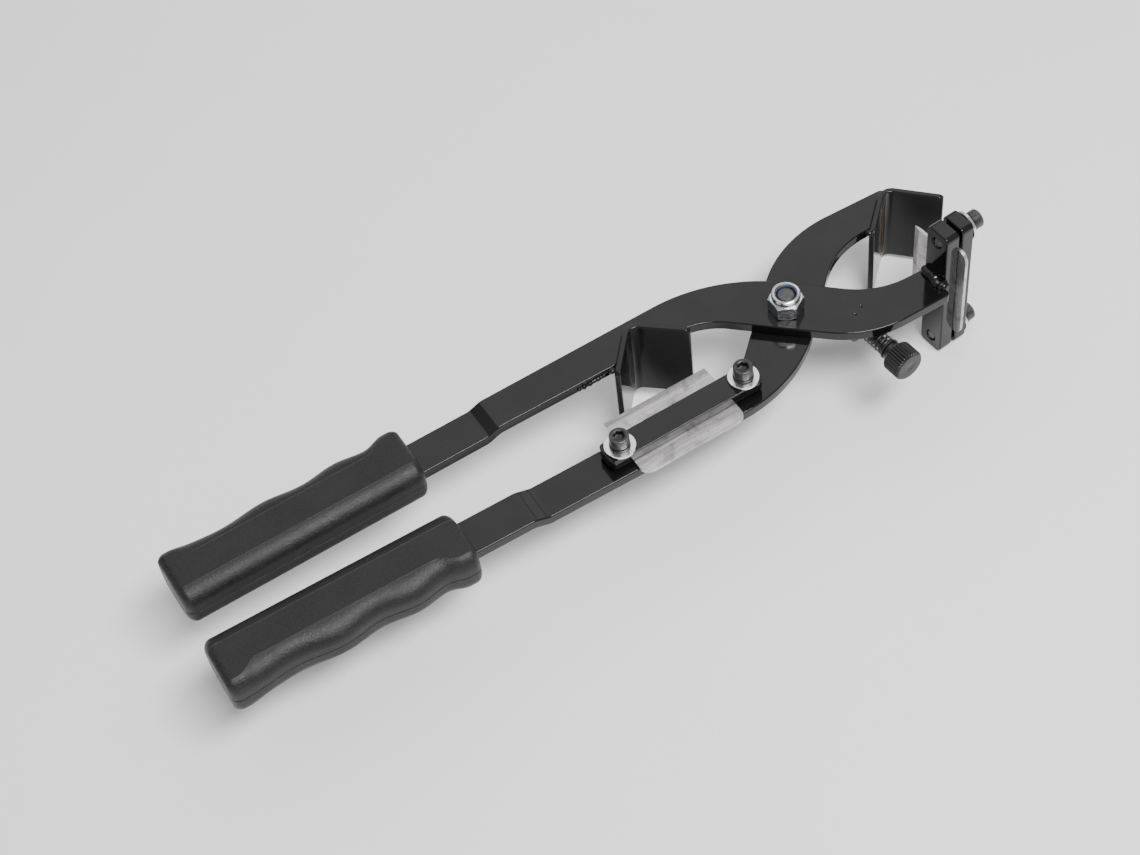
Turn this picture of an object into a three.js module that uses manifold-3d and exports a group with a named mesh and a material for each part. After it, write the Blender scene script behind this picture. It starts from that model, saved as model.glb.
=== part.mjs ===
// Two-handed jacket cutter: two crossed flat-bar arms on one pivot. Between the grips and the pivot
// a V anvil faces a flat blade, for ring cuts. At the head a second V anvil faces an upright blade,
// for lengthwise cuts. A sprung thumb screw under the upper arm limits how far the arms close.
// Millimetres, +Z up, +X towards the head; the pivot's axis is Z and the arms meet at height 0.
import * as THREE from "three";
import { mergeVertices } from "three/addons/utils/BufferGeometryUtils.js";
import Module from "manifold-3d";

const wasm = await Module();
wasm.setup();
const rad = THREE.MathUtils.degToRad;

// Driving dimensions
const GAP = 0.3; // between pieces that slide or turn on each other
const SEAT = 0.15; // between pieces that are clamped or welded together
const BAR = { width: 20, thick: 6 };
const TANG_X = -160; // where each arm's bar starts its step down to the tang
const TANG_END = -321;
const UPPER = { side: 1, y: 28.2, turn: 0.9, step: 3, end: -4 };
const LOWER = { side: -1, y: -27.8, turn: -0.5, step: -2, end: -10 };
const GRIP = { length: 131.5, half: 12.3, inner: 15.7, valley: 16.4, crest: 18.9, crease: 8.6 };
const GRIP_ROUND = { inner: 8, end: 4.5, outer: 8.6 };
const UPPER_GRIP_X = -332.5;
const LOWER_GRIP_X = -334.6;
const VEE = { half: 23.8, thick: 3, height: 50, outer: 7.5, inner: 4.5 };
const MID_VEE = { x: -70.7, y: 13.75, turn: 4.2, top: 9 };
const HEAD_VEE = { x: 88.6, y: 18.65, turn: -1.1, top: 3 };
const BLADE = { length: 59.6, width: 38.4, thick: 1.8, bevel: 3.8, corner: 5.5 };
const HEAD_BLADE = { length: 62, tongue: 43, forward: 6.5 };
const SCREW = { thread: 6, head: 10, headHeight: 6, socket: 5, spacing: 72 };
const WASHER = { outer: 16, thick: 1.5 };
const LOCK = { outer: 10.6, thick: 1.5 };
const CLAMP = { length: 88.4, width: 14, thick: 6, corner: 3, offset: -0.6 };
const MID = { x: -79.3, y: -26.6, turn: 0.7, bladeX: -3.2, bladeY: 2 };
const HEAD = { x: 77, y: -25.5, z: -5.4, turn: 5 };
const BLOCK = { height: 87, width: 15, thick: 8, clampThick: 7.5, corner: 3 };
const BOLT = { thread: 10, across: 16, headHeight: 6.4, nutHeight: 8.4, collar: 3.6, tip: 17.7 };
const STOP = { x: 30.6, y: -26.5, z: -5.6, turn: 5.7, thread: 6, tip: 28.1 };
const LUG = { width: 18, depth: 13, below: 5.2, corner: 3 };
const KNOB = { radius: 8.5, back: 18, hub: 4.2, length: 14.6, flutes: 30, depth: 0.5 };
const SPRING = { outer: 10.2, wire: 1.1, turns: 6.5 };
const SPRING_WASHER = { outer: 11.5, thick: 0.9 };

const steel = (name, color, roughness, metalness) =>
  new THREE.MeshStandardMaterial({ name, color, roughness, metalness });
const ENAMEL = steel("black_enamel", 0x17181a, 0.28, 0.1);
const BLACK_OXIDE = steel("black_oxide", 0x2a2b2d, 0.45, 0.7);
const ZINC = steel("bright_zinc", 0xc9ccd0, 0.28, 0.95);
const BLADE_STEEL = steel("ground_steel", 0xb9b4b2, 0.3, 0.95);
const GRIP_PLASTIC = steel("grip_plastic", 0x2b2d30, 0.75, 0);
const NYLON = steel("nylon", 0x9fb4c6, 0.5, 0);

// ---- Geometry helpers ----

// A closed outline from corners [x, y, radius]; the radius rounds the corner with a true arc.
function outline(corners) {
  const shape = new THREE.Shape();
  corners.forEach(([x, y, radius = 0], i) => {
    const at = new THREE.Vector2(x, y);
    const [px, py] = corners[(i + corners.length - 1) % corners.length];
    const [nx, ny] = corners[(i + 1) % corners.length];
    const back = new THREE.Vector2(px, py).sub(at).normalize();
    const ahead = new THREE.Vector2(nx, ny).sub(at).normalize();
    const half = Math.acos(back.dot(ahead)) / 2;
    const run = radius / Math.tan(half);
    const from = at.clone().addScaledVector(back, run);
    if (i === 0) shape.moveTo(from.x, from.y);
    else shape.lineTo(from.x, from.y);
    if (!radius) return;
    const centre = back.clone().add(ahead).normalize().multiplyScalar(radius / Math.sin(half));
    centre.add(at);
    const to = at.clone().addScaledVector(ahead, run);
    const start = Math.atan2(from.y - centre.y, from.x - centre.x);
    const end = Math.atan2(to.y - centre.y, to.x - centre.x);
    shape.absarc(centre.x, centre.y, radius, start, end, back.cross(ahead) > 0);
  });
  shape.closePath();
  return shape;
}

// A rectangle centred on the origin, its corners rounded.
function rectangle(width, height, radius) {
  const [x, y] = [width / 2, height / 2];
  return outline([[-x, -y, radius], [x, -y, radius], [x, y, radius], [-x, y, radius]]);
}

// An outline made solid between two heights.
function plate(shape, bottom, top, curveSegments = 6) {
  const settings = { depth: top - bottom, bevelEnabled: false, curveSegments };
  return new THREE.ExtrudeGeometry(shape, settings).translate(0, 0, bottom);
}

// A profile of [radius, height] points turned about Z.
function turned(profile, segments = 24) {
  const points = profile.map(([r, z]) => new THREE.Vector2(r, z));
  return new THREE.LatheGeometry(points, segments).rotateX(Math.PI / 2);
}

function cylinder(radius, bottom, top, segments = 24) {
  return turned([[0, bottom], [radius, bottom], [radius, top], [0, top]], segments);
}

// A ring about Z with the given inner and outer radii.
function ring(inner, outer, bottom, top, segments = 24) {
  const profile = [[inner, bottom], [outer, bottom], [outer, top], [inner, top], [inner, bottom]];
  return turned(profile, segments);
}

// A hexagonal bar about Z, measured across its flats.
function hexagon(across, bottom, top) {
  const radius = across / Math.sqrt(3);
  return cylinder(radius, bottom, top, 6);
}

// Sections of equal point count joined into one closed skin; each end is closed by a fan.
function loft(sections) {
  const count = sections[0].length;
  const points = sections.flat();
  const index = [];
  for (let s = 0; s + 1 < sections.length; s++) {
    for (let i = 0; i < count; i++) {
      const [a, b] = [s * count + i, s * count + ((i + 1) % count)];
      index.push(a, b + count, b, a, a + count, b + count);
    }
  }
  const last = (sections.length - 1) * count;
  for (let i = 1; i + 1 < count; i++) {
    index.push(0, i, i + 1);
    index.push(last, last + i + 1, last + i);
  }
  const geometry = new THREE.BufferGeometry();
  geometry.setAttribute("position", new THREE.Float32BufferAttribute(points.flat(), 3));
  geometry.setIndex(index);
  return geometry;
}

function solid(geometry) {
  const bare = geometry.clone();
  bare.deleteAttribute("normal");
  bare.deleteAttribute("uv");
  const merged = mergeVertices(bare, 1e-4);
  const vertProperties = merged.attributes.position.array;
  const triVerts = new Uint32Array(merged.index.array);
  return new wasm.Manifold(new wasm.Mesh({ numProp: 3, vertProperties, triVerts }));
}

function skin(body) {
  const { vertProperties, triVerts } = body.getMesh();
  return new THREE.BufferGeometry()
    .setAttribute("position", new THREE.BufferAttribute(vertProperties, 3))
    .setIndex(new THREE.BufferAttribute(triVerts, 1))
    .toNonIndexed();
}

const join = (...geometries) => skin(geometries.map(solid).reduce((a, b) => a.add(b)));
const cut = (geometry, ...tools) =>
  skin(tools.map(solid).reduce((a, b) => a.subtract(b), solid(geometry)));
const trim = (geometry, tool) => skin(solid(geometry).intersect(solid(tool)));

// These turn a geometry made along +Z so that it runs along +X, or along -Y.
const alongX = (geometry) => geometry.rotateY(Math.PI / 2);
const alongMinusY = (geometry) => geometry.rotateX(Math.PI / 2);

const part = new THREE.Group();

function frameAt({ x, y, z = 0, turn }) {
  const frame = new THREE.Group();
  frame.position.set(x, y, z);
  frame.rotation.z = rad(turn);
  part.add(frame);
  return frame;
}

function add(frame, name, geometry, material) {
  geometry.computeVertexNormals();
  const mesh = new THREE.Mesh(geometry, material);
  mesh.name = name;
  frame.add(mesh);
  return mesh;
}

// ---- Arms ----

// The tang: a flat bar that steps from the arm's own layer to mid height and runs into the grip.
function tang({ y, turn, step, end }, bottom, top) {
  const half = BAR.thick / 2;
  const reach = TANG_END - TANG_X;
  const side = outline([
    [reach, -half],
    [end, -half, 8],
    [step, bottom, 8],
    [9, bottom],
    [9, top],
    [step, top, 8],
    [end, half, 8],
    [reach, half],
  ]);
  return plate(side, -BAR.width / 2, BAR.width / 2, 3)
    .rotateX(Math.PI / 2)
    .rotateZ(rad(turn))
    .translate(TANG_X, y, 0);
}

// The V anvil's filled outer outline, grown by a clearance: what an arm's notch is cut to.
function veePocket({ x, y, turn, top }, clearance) {
  const drop = 12;
  const grown = VEE.half + clearance * Math.SQRT2;
  const shape = outline([
    [-grown - drop + clearance * Math.SQRT2, -drop],
    [grown + drop - clearance * Math.SQRT2, -drop],
    [0, grown, VEE.outer + clearance],
  ]);
  return plate(shape, top - VEE.height - 1, top + 1, 8).rotateZ(rad(turn)).translate(x, y, 0);
}

function pivotHole() {
  return cylinder(BOLT.thread / 2 + GAP, -BAR.thick - 1, BAR.thick + 1, 32);
}

// The upper arm runs from the +Y grip, over the pivot, to the head's blade block on the -Y side.
function upperArm() {
  const shape = outline([
    [-156, 18.3],
    [-39.2, 18.6, 36.6],
    [23.8, -39.9, 55],
    [72.4, -39.9, 2],
    [72.1, -18.7],
    [43.4, -17.5, 45],
    [-17.5, 40.2, 92],
    [-156, 38.2],
  ]);
  const bar = join(plate(shape, SEAT, BAR.thick, 8), tang(UPPER, SEAT, BAR.thick));
  return cut(bar, veePocket(MID_VEE, SEAT), pivotHole());
}

// The lower arm is the mirror path: from the -Y grip, under the pivot, to the head's V anvil.
function lowerArm() {
  const shape = outline([
    [-156, -38],
    [-18.7, -39.6, 82],
    [47.1, 24.3, 48],
    [91, 22.2],
    [91, 42.7, 4],
    [25.1, 44.7, 71],
    [-41.4, -18.6, 25],
    [-156, -17.9],
  ]);
  const bar = join(plate(shape, -BAR.thick, -SEAT, 8), tang(LOWER, -BAR.thick, -SEAT));
  const threads = [-1, 1].map((end) => {
    const hole = cylinder(SCREW.thread / 2 + SEAT, -BAR.thick - 1, 1, 16);
    hole.translate((end * SCREW.spacing) / 2, 0, 0).rotateZ(rad(MID.turn));
    return hole.translate(MID.x, MID.y, 0);
  });
  return cut(bar, veePocket(HEAD_VEE, SEAT), pivotHole(), ...threads);
}

// ---- Grips ----

// How far the finger side stands out, from the butt at 0 to the mouth at GRIP.length.
const FINGER_WAVE = [
  [0, 1], [6, 1], [34, 0], [57.5, 1], [78, 0], [97, 0.95], [113, 0], [125, 1], [131.5, 1],
];

function fingerSide(x) {
  const next = Math.max(1, FINGER_WAVE.findIndex(([at]) => at >= x));
  const [x0, w0] = FINGER_WAVE[next - 1];
  const [x1, w1] = FINGER_WAVE[next];
  const wave = w0 + (w1 - w0) * (0.5 - 0.5 * Math.cos((Math.PI * (x - x0)) / (x1 - x0)));
  return GRIP.valley + wave * (GRIP.crest - GRIP.valley);
}

// The flat panel's outer edge: straight along the grooves, spreading to the corners at both ends.
function panelEdge(x) {
  const toEnd = Math.min(x - 7, GRIP.length - 8 - x);
  const spread = THREE.MathUtils.smoothstep(12 - toEnd, 0, 12);
  return GRIP.crease + spread * (GRIP.crest - 5 - GRIP.crease);
}

// One section of a half shell, from the parting face up and over; "inset" draws it in at the ends.
function gripSection(x, inset) {
  const [near, far] = [-GRIP.inner + inset, fingerSide(x) - inset];
  const top = GRIP.half - inset * 0.8;
  const panel = Math.min(panelEdge(x), far - 2);
  const section = [[x, near, SEAT]];
  const steps = 4;
  for (let i = 0; i <= steps; i++) {
    const a = (Math.PI / 2) * (i / steps);
    const y = near + GRIP_ROUND.inner * (1 - Math.cos(a));
    section.push([x, y, top - GRIP_ROUND.inner * (1 - Math.sin(a))]);
  }
  for (let i = 0; i <= steps; i++) {
    const a = (Math.PI / 2) * (i / steps);
    const y = panel + (far - panel) * Math.sin(a);
    section.push([x, y, top - GRIP_ROUND.outer * (1 - Math.cos(a))]);
  }
  section.push([x, far, SEAT]);
  return section;
}

function gripShell() {
  const sections = [];
  const round = GRIP_ROUND.end;
  const arc = [0, 22.5, 45, 67.5, 90].map((degrees) => {
    const a = rad(degrees);
    return { back: round * (1 - Math.cos(a)), inset: round * (1 - Math.sin(a)) };
  });
  for (const { back, inset } of arc) sections.push(gripSection(back, inset));
  const steps = 24;
  const run = GRIP.length - 2 * round;
  for (let i = 1; i < steps; i++) sections.push(gripSection(round + (run * i) / steps, 0));
  for (const { back, inset } of arc.reverse()) sections.push(gripSection(GRIP.length - back, inset));
  const pocketStart = 10.5;
  const pocket = new THREE.BoxGeometry(GRIP.length, BAR.width + 2 * GAP, BAR.thick + 2 * GAP);
  pocket.translate(pocketStart + GRIP.length / 2, 0, 0);
  return cut(loft(sections), pocket);
}

// Both grips use the same half shell, mirrored to the other side or the other face.
function grips() {
  const shell = gripShell();
  for (const [arm, name, butt] of [[UPPER, "upper", UPPER_GRIP_X], [LOWER, "lower", LOWER_GRIP_X]]) {
    const along = butt - TANG_X;
    const x = TANG_X + along * Math.cos(rad(arm.turn));
    const y = arm.y + along * Math.sin(rad(arm.turn));
    const frame = frameAt({ x, y, turn: arm.turn });
    const top = add(frame, name + "_grip_top_shell", shell.clone(), GRIP_PLASTIC);
    const bottom = add(frame, name + "_grip_bottom_shell", shell.clone(), GRIP_PLASTIC);
    top.scale.set(1, arm.side, 1);
    bottom.scale.set(1, arm.side, -1);
  }
}

// ---- Anvils and blades ----

// Bent plate: two legs at a right angle, open towards -Y.
function veeAnvil(place) {
  const foot = VEE.thick / Math.SQRT2;
  const shape = outline([
    [-VEE.half, 0],
    [-VEE.half + foot, -foot],
    [0, VEE.half - VEE.thick * Math.SQRT2, VEE.inner],
    [VEE.half - foot, -foot],
    [VEE.half, 0],
    [0, VEE.half, VEE.outer],
  ]);
  return plate(shape, place.top - VEE.height, place.top, 8);
}

// A flat blade outline made solid, and ground from both faces along its +Y side.
function groundBlade(corners) {
  const { thick, bevel } = BLADE;
  const edge = BLADE.width / 2;
  const reach = 40;
  const wedge = new THREE.Shape([
    new THREE.Vector2(-reach, 0),
    new THREE.Vector2(edge - bevel, 0),
    new THREE.Vector2(edge, thick / 2),
    new THREE.Vector2(edge - bevel, thick),
    new THREE.Vector2(-reach, thick),
  ]);
  const ground = plate(wedge, -reach, reach).rotateX(Math.PI / 2).rotateZ(Math.PI / 2);
  return trim(plate(outline(corners), 0, thick, 4), ground);
}

// The mid blade is a plain rectangle about its centre, its two back corners rounded.
function midBlade() {
  const [x, y] = [BLADE.length / 2, BLADE.width / 2];
  return groundBlade([[-x, -y, BLADE.corner], [x, -y, BLADE.corner], [x, y], [-x, y]]);
}

// The head blade has a long root between the blocks, and a shorter tongue that does the cutting.
function headBlade() {
  const [x, y, tongue] = [HEAD_BLADE.length / 2, BLADE.width / 2, HEAD_BLADE.tongue / 2];
  const step = -HEAD_BLADE.forward + BLOCK.width / 2 - 2;
  return groundBlade([
    [-x, -y, BLADE.corner],
    [x, -y, BLADE.corner],
    [x, step, 2],
    [tongue, step, 2],
    [tongue, y],
    [-tongue, y],
    [-tongue, step, 2],
    [-x, step, 2],
  ]);
}

// ---- Fasteners, made about Z with their seat at height 0 ----

// Socket head cap screw, its shank reaching down by "grip".
function capScrew(grip) {
  const [r, h] = [SCREW.head / 2, SCREW.headHeight];
  const shank = SCREW.thread / 2;
  const body = turned([
    [0, -grip], [shank - 0.6, -grip], [shank, 0.6 - grip], [shank, 0],
    [r, 0], [r, h - 0.5], [r - 0.5, h], [0, h],
  ]);
  return cut(body, hexagon(SCREW.socket, h - 3.2, h + 1));
}

// Split lock washer: a ring with one slanted gap.
function lockWasher() {
  const inner = SCREW.thread / 2 + 0.25;
  const split = new THREE.BoxGeometry(8, 0.9, 6).rotateX(rad(25)).translate(6, 0, LOCK.thick / 2);
  return cut(ring(inner, LOCK.outer / 2, 0, LOCK.thick, 20), split);
}

function flatWasher() {
  return ring(SCREW.thread / 2 + 0.25, WASHER.outer / 2, 0, WASHER.thick, 28);
}

// A screw, its lock washer and its flat washer stacked on a seat in "frame".
function screwStack(frame, names, place, grip) {
  const lockSeat = WASHER.thick + 2 * SEAT;
  const headSeat = lockSeat + LOCK.thick + SEAT;
  const stack = [
    [names[0], capScrew(grip + headSeat), headSeat, BLACK_OXIDE],
    [names[1], lockWasher(), lockSeat, BLACK_OXIDE],
    [names[2], flatWasher(), SEAT, ZINC],
  ];
  for (const [name, geometry, height, material] of stack) {
    add(frame, name, place(geometry.translate(0, 0, height)), material);
  }
}

const stackNames = (where) => ["screw", "lock_washer", "flat_washer"].map((kind) => where + "_" + kind);

// ---- Stations ----

// The flat blade sits on the lower arm under a clamp bar with a screw at each end.
function midStation() {
  const frame = frameAt(MID);
  const barBottom = SEAT + BLADE.thick + SEAT;
  const barTop = barBottom + CLAMP.thick;
  const bar = plate(rectangle(CLAMP.length, CLAMP.width, CLAMP.corner), barBottom, barTop, 3);
  const ends = [-1, 1].map((end) => (end * SCREW.spacing) / 2);
  const holes = ends.map((x) => cylinder(SCREW.thread / 2 + GAP, 0, barTop + 1).translate(x, 0, 0));
  bar.translate(CLAMP.offset, 0, 0);
  add(frame, "mid_blade", midBlade().translate(MID.bladeX, MID.bladeY, SEAT), BLADE_STEEL);
  add(frame, "mid_clamp_bar", cut(bar, ...holes), ENAMEL);
  ["mid_butt_end", "mid_pivot_end"].forEach((where, i) => {
    const place = (geometry) => geometry.translate(ends[i], 0, barTop);
    screwStack(frame, stackNames(where), place, barTop + BAR.thick + 2);
  });
}

// The upright blade stands between the seat block, welded to the upper arm, and the clamp block.
function headStation() {
  const frame = frameAt(HEAD);
  const ends = [1, -1].map((end) => (end * SCREW.spacing) / 2);
  const block = (thick, start, clearance) => {
    const slab = plate(rectangle(BLOCK.height, BLOCK.width, BLOCK.corner), 0, thick, 3);
    const tools = ends.map((x) => cylinder(SCREW.thread / 2 + clearance, -1, thick + 1).translate(x, 0, 0));
    return alongX(cut(slab, ...tools)).translate(start, 0, 0);
  };
  const bladeStart = BLOCK.thick / 2 + SEAT;
  const clampStart = bladeStart + BLADE.thick + SEAT;
  const clampEnd = clampStart + BLOCK.clampThick;
  const upright = alongX(headBlade()).translate(bladeStart, HEAD_BLADE.forward, 0);
  add(frame, "head_seat_block", block(BLOCK.thick, -BLOCK.thick / 2, SEAT), ENAMEL);
  add(frame, "head_blade", upright, BLADE_STEEL);
  add(frame, "head_clamp_block", block(BLOCK.clampThick, clampStart, GAP), ENAMEL);
  ["head_upper", "head_lower"].forEach((where, i) => {
    const place = (geometry) => alongX(geometry).translate(clampEnd, 0, ends[i]);
    screwStack(frame, stackNames(where), place, clampEnd + BLOCK.thick / 2 - 0.5);
  });
}

// ---- Pivot ----

function pivot() {
  const frame = frameAt({ x: 0, y: 0, turn: 0 });
  const r = BOLT.thread / 2;
  const seat = BAR.thick + SEAT;
  const head = trim(
    hexagon(BOLT.across, -seat - BOLT.headHeight, -seat),
    turned([
      [0, -seat - BOLT.headHeight], [BOLT.across / 2, -seat - BOLT.headHeight],
      [BOLT.across / 2 + 1.5, -seat - BOLT.headHeight + 1], [BOLT.across / 2 + 1.5, -seat], [0, -seat],
    ]),
  );
  const shank = turned([
    [0, -seat - 1], [r, -seat - 1], [r, BOLT.tip - 1], [r - 1, BOLT.tip], [0, BOLT.tip],
  ]);
  const nutTop = seat + BOLT.nutHeight;
  const hex = trim(
    hexagon(BOLT.across, seat, nutTop),
    turned([
      [0, seat], [BOLT.across / 2 + 1.5, seat], [BOLT.across / 2 + 1.5, nutTop - 0.9],
      [BOLT.across / 2, nutTop], [0, nutTop],
    ]),
  );
  const collarTop = nutTop + BOLT.collar;
  const collar = BOLT.across / 2 - 0.6;
  const cup = join(hex, turned([
    [0, nutTop - 1], [collar, nutTop - 1], [collar, collarTop - 0.8], [collar - 1, collarTop], [0, collarTop],
  ]));
  const insertRadius = collar - 1.2;
  const nut = cut(cup, cylinder(r + SEAT, 0, 30), cylinder(insertRadius + SEAT, nutTop, 30));
  const insert = ring(r + SEAT, insertRadius, nutTop + SEAT, collarTop - 0.3);
  add(frame, "pivot_bolt", join(head, shank), BLACK_OXIDE);
  add(frame, "pivot_nut", nut, ZINC);
  add(frame, "pivot_nut_insert", insert, NYLON);
}

// ---- Closing stop: a thumb screw in a lug under the upper arm, held by a spring ----

function lug() {
  const top = -SEAT - STOP.z;
  const [x, bottom] = [LUG.width / 2, -LUG.below];
  const face = outline([[-x, bottom, LUG.corner], [x, bottom, LUG.corner], [x, top], [-x, top]]);
  const block = alongMinusY(plate(face, -LUG.depth, 0, 3));
  const hole = alongMinusY(cylinder(STOP.thread / 2 + SEAT, -LUG.depth - 1, 1));
  return cut(block, hole);
}

function spring(start, end) {
  class Helix extends THREE.Curve {
    getPoint(t, target = new THREE.Vector3()) {
      const a = 2 * Math.PI * SPRING.turns * t;
      const r = (SPRING.outer - SPRING.wire) / 2;
      return target.set(r * Math.cos(a), start + (end - start) * t, r * Math.sin(a));
    }
  }
  const wire = new THREE.Shape().absarc(0, 0, SPRING.wire / 2, 0, 2 * Math.PI);
  const steps = Math.round(SPRING.turns * 12);
  return new THREE.ExtrudeGeometry(wire, { steps, extrudePath: new Helix(), curveSegments: 3 });
}

// Straight-fluted knob with a plain hub towards the spring.
function knob() {
  const shape = new THREE.Shape();
  const points = 2 * KNOB.flutes;
  for (let i = 0; i < points; i++) {
    const a = (2 * Math.PI * i) / points;
    const r = KNOB.radius - (i % 2) * KNOB.depth;
    shape[i ? "lineTo" : "moveTo"](r * Math.cos(a), r * Math.sin(a));
  }
  shape.closePath();
  const fluted = plate(shape, KNOB.hub, KNOB.length, 1);
  const [r, end] = [KNOB.radius, KNOB.length];
  const envelope = turned([
    [0, KNOB.hub - 1], [r - 1.2, KNOB.hub - 1], [r + 0.8, KNOB.hub + 1], [r + 0.8, end - 1.8],
    [r - 1, end], [0, end],
  ], 30);
  const hub = cylinder(5, 0, KNOB.hub + 1);
  const bore = cylinder(STOP.thread / 2 + SEAT, -1, KNOB.length - 3);
  return cut(join(trim(fluted, envelope), hub), bore);
}

function closingStop() {
  const frame = frameAt(STOP);
  const washerFace = KNOB.back - GAP - SPRING_WASHER.thick;
  const washer = ring(STOP.thread / 2 + 0.25, SPRING_WASHER.outer / 2, 0, SPRING_WASHER.thick);
  const shank = STOP.thread / 2;
  const rod = turned([
    [0, -STOP.tip], [1, -STOP.tip], [shank, 2 - STOP.tip],
    [shank, KNOB.back + KNOB.length - 3 - SEAT], [0, KNOB.back + KNOB.length - 3 - SEAT],
  ]);
  add(frame, "stop_lug", lug(), ENAMEL);
  add(frame, "stop_spring", spring(-GAP - SPRING.wire / 2, -washerFace + GAP + SPRING.wire / 2), BLACK_OXIDE);
  add(frame, "stop_spring_washer", alongMinusY(washer.translate(0, 0, washerFace)), BLACK_OXIDE);
  add(frame, "stop_screw", alongMinusY(rod), BLACK_OXIDE);
  add(frame, "stop_knob", alongMinusY(knob().translate(0, 0, KNOB.back)), BLACK_OXIDE);
}

// ---- Assembly ----

const base = frameAt({ x: 0, y: 0, turn: 0 });
add(base, "upper_arm", upperArm(), ENAMEL);
add(base, "lower_arm", lowerArm(), ENAMEL);
grips();
for (const [name, place] of [["mid_v_anvil", MID_VEE], ["head_v_anvil", HEAD_VEE]]) {
  add(frameAt({ x: place.x, y: place.y, turn: place.turn }), name, veeAnvil(place), ENAMEL);
}
midStation();
headStation();
pivot();
closingStop();

// The part's origin is the middle of its base: the centre of its box, at its lowest height.
part.updateMatrixWorld(true);
const box = new THREE.Box3().setFromObject(part, true);
const middle = box.getCenter(new THREE.Vector3());
part.position.set(-middle.x, -middle.y, -box.min.z);

const assembly = new THREE.Group();
assembly.add(part);
export default assembly;
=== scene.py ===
"""Two-handed jacket cutter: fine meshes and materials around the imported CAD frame."""
import math
import random
import bmesh
import bpy
from mathutils import Matrix, Vector


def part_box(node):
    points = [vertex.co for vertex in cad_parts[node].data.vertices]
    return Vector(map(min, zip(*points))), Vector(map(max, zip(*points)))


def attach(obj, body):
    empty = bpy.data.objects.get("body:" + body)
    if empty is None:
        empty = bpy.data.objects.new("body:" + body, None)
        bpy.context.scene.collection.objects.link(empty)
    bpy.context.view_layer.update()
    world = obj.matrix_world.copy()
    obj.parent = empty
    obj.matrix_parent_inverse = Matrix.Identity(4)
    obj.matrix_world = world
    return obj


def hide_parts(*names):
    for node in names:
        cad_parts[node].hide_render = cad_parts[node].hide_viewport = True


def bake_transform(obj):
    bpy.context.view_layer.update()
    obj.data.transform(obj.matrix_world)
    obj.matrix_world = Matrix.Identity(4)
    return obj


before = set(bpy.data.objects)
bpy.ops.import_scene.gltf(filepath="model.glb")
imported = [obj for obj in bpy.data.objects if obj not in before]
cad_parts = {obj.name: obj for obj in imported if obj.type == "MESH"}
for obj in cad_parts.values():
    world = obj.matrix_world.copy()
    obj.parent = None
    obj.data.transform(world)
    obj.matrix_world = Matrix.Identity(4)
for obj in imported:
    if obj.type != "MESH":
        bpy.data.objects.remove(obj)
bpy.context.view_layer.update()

MM = 0.001
SEAT = 0.15  # half of the gap between touching solids
BAR_WIDTH, BAR_THICK = 20, 6
SCREW_OFFSET = 36  # a clamp screw, from the middle of its blade
UPPER_BODY, LOWER_BODY = "upper_arm_body", "lower_arm_body"
CARRIAGE, SCREW_BODY = "stop_carriage", "stop_screw_body"

# The pivot's axis at the height where the two arms meet; every local frame below starts from it.
_low, _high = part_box("pivot_bolt")
PIVOT = Vector(((_low.x + _high.x) / 2, (_low.y + _high.y) / 2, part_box("upper_arm")[1].z - BAR_THICK * MM))


def place(x=0, y=0, z=0, turn=0):
    """A local frame in millimetres, given from the pivot."""
    there = Matrix.Translation(PIVOT + Vector((x, y, z)) * MM)
    return there @ Matrix.Rotation(math.radians(turn), 4, "Z") @ Matrix.Scale(MM, 4)


ALONG_X = Matrix.Rotation(math.pi / 2, 4, "Y")
ALONG_MINUS_Y = Matrix.Rotation(math.pi / 2, 4, "X")
MID = place(-79.3, -26.6, 0, 0.7)
HEAD = place(77, -25.5, -5.4, 5)
STOP = place(30.6, -26.5, -5.6, 5.7)

# ---------------------------------------------------------------- materials


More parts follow.
